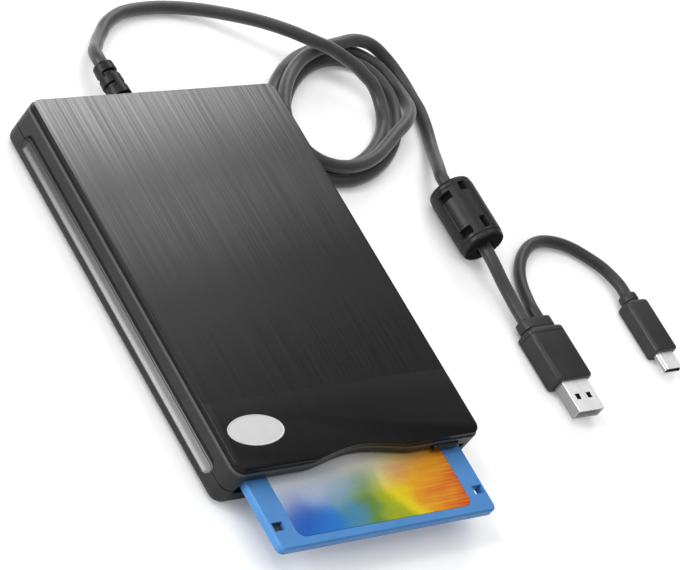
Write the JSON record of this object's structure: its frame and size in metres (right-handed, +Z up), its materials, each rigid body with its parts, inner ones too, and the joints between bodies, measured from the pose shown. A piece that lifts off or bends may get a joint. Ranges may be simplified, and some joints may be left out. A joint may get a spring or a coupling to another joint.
{
  "type": "external floppy disk drive",
  "caption": "Slim external drive for 3.5 inch floppy discs: a flat rounded casing with a disc half out of its front slot, an eject button, and a coiled lead with two plugs.",
  "frame": {"origin": "middle of the footprint of the drive with its disc half out, on the surface it stands on; the lead is left out of it", "axes": "+Z up, -Y to the front slot, +Y to the back where the lead leaves, +X to the right seen from the front"},
  "size_m": [0.2233, 0.2112, 0.0178],
  "materials": {
    "casing": "satin black moulding",
    "panel": "brushed lengthways, darker to the front",
    "badge": "bare satin oval",
    "foot_rubber": "matte",
    "steel": "bright",
    "sheet_steel": "plated sheet",
    "button_plastic": "satin",
    "brass": "turned",
    "board": "solder resist",
    "winding": "copper wire",
    "carriage": "cast",
    "chip": "moulded",
    "disc_blue": "fine texture",
    "label": "printed paper with a soft colour gradient",
    "shutter": "satin",
    "film": "coated film",
    "cord_sheath": "satin sheath",
    "overmould": "satin",
    "tongue": "moulded"
  },
  "bodies": {
    "casing": {"top_cover": "casing", "top_plate": "panel", "oval_badge": "badge", "bottom_cover": "casing", "rubber_foot_1": "foot_rubber", "rubber_foot_2": "foot_rubber", "rubber_foot_3": "foot_rubber", "rubber_foot_4": "foot_rubber", "case_screw_1": "steel", "case_screw_2": "steel", "chassis": "sheet_steel", "mechanism_cover": "sheet_steel", "eject_spring_left": "steel", "eject_spring_right": "steel", "motor_board": "board", "stator": "winding", "spindle_bearing": "brass", "stepper_motor": "sheet_steel", "guide_rod": "steel", "track_sensor": "chip", "disc_switch": "chip", "protect_switch": "chip", "usb_board": "board", "usb_chip": "chip", "crystal": "steel", "cord_socket": "tongue", "control_board": "board", "control_chip": "chip", "inner_wires": "cord_sheath", "strain_relief": "overmould", "cord_lead": "cord_sheath", "cord_coil": "cord_sheath", "cord_run": "cord_sheath", "ferrite": "overmould", "cord_tail": "cord_sheath", "usb_a_body": "overmould", "usb_a_shell": "steel", "usb_a_tongue": "tongue", "cord_pigtail": "cord_sheath", "usb_c_body": "overmould", "usb_c_shell": "steel", "usb_c_tongue": "tongue"},
    "eject_gear": {"eject_slide": "steel", "eject_button": "button_plastic"},
    "holder": {"disc_holder": "steel", "lever_pivot": "brass"},
    "lever": {"trigger_lever": "sheet_steel"},
    "disc": {"disc_shell_lower": "disc_blue", "disc_shell_upper": "disc_blue", "disc_label": "label"},
    "shutter": {"disc_shutter": "shutter"},
    "medium": {"magnetic_disc": "film", "disc_hub": "shutter"},
    "write_tab": {"protect_tab": "casing"},
    "spindle": {"spindle_rotor": "steel"},
    "carriage": {"head_carriage": "carriage", "arm_hinge_pin": "steel"},
    "upper_arm": {"upper_head_arm": "sheet_steel"},
    "screw": {"lead_screw": "steel"}
  },
  "joints": [
    {"name": "eject_slide", "type": "slide", "parent": "casing", "child": "eject_gear", "axis": [0, -1, 0], "range_m": [0, 0.0045], "deforming": ["eject_spring_left", "eject_spring_right"]},
    {"name": "holder_drop", "type": "slide", "parent": "casing", "child": "holder", "axis": [0, 0, -1], "range_m": [0, 0.002]},
    {"name": "disc_slide", "type": "slide", "parent": "holder", "child": "disc", "axis": [0, 1, 0], "range_m": [0, 0.0245]},
    {"name": "lever_turn", "type": "hinge", "parent": "holder", "child": "lever", "pos_m": [0.04287, 0.04079, 0.0132], "axis": [0, 0, 1], "range_deg": [-47.4, 0]},
    {"name": "shutter_slide", "type": "slide", "parent": "disc", "child": "shutter", "axis": [-1, 0, 0], "range_m": [0, 0.0121]},
    {"name": "write_protect", "type": "slide", "parent": "disc", "child": "write_tab", "axis": [0, 1, 0], "range_m": [0, 0.0035]},
    {"name": "spindle_spin", "type": "hinge", "parent": "casing", "child": "spindle", "pos_m": [0, -0.00855, 0.004], "axis": [0, 0, 1], "continuous": true},
    {"name": "medium_spin", "type": "hinge", "parent": "disc", "child": "medium", "pos_m": [0, -0.03305, 0.00885], "axis": [0, 0, 1], "continuous": true},
    {"name": "head_travel", "type": "slide", "parent": "casing", "child": "carriage", "axis": [0, -1, 0], "range_m": [0, 0.015]},
    {"name": "head_arm", "type": "hinge", "parent": "carriage", "child": "upper_arm", "pos_m": [0, 0.06095, 0.0111], "axis": [1, 0, 0], "range_deg": [0, 7.06]},
    {"name": "screw_turn", "type": "hinge", "parent": "casing", "child": "screw", "pos_m": [-0.013, 0.05, 0.0079], "axis": [0, -1, 0], "range_deg": [0, 1440]}
  ],
  "couplings": [
    {"joint": "holder_drop", "follows": "eject_slide", "ratio": 0.44444},
    {"joint": "head_arm", "follows": "eject_slide", "rad_per_m": 27.35},
    {"joint": "lever_turn", "follows": "disc_slide", "rad_per_m": -33.757},
    {"joint": "shutter_slide", "follows": "disc_slide", "ratio": 0.49387},
    {"joint": "medium_spin", "follows": "spindle_spin", "ratio": 1},
    {"joint": "screw_turn", "follows": "head_travel", "rad_per_m": 1675.5}
  ]
}
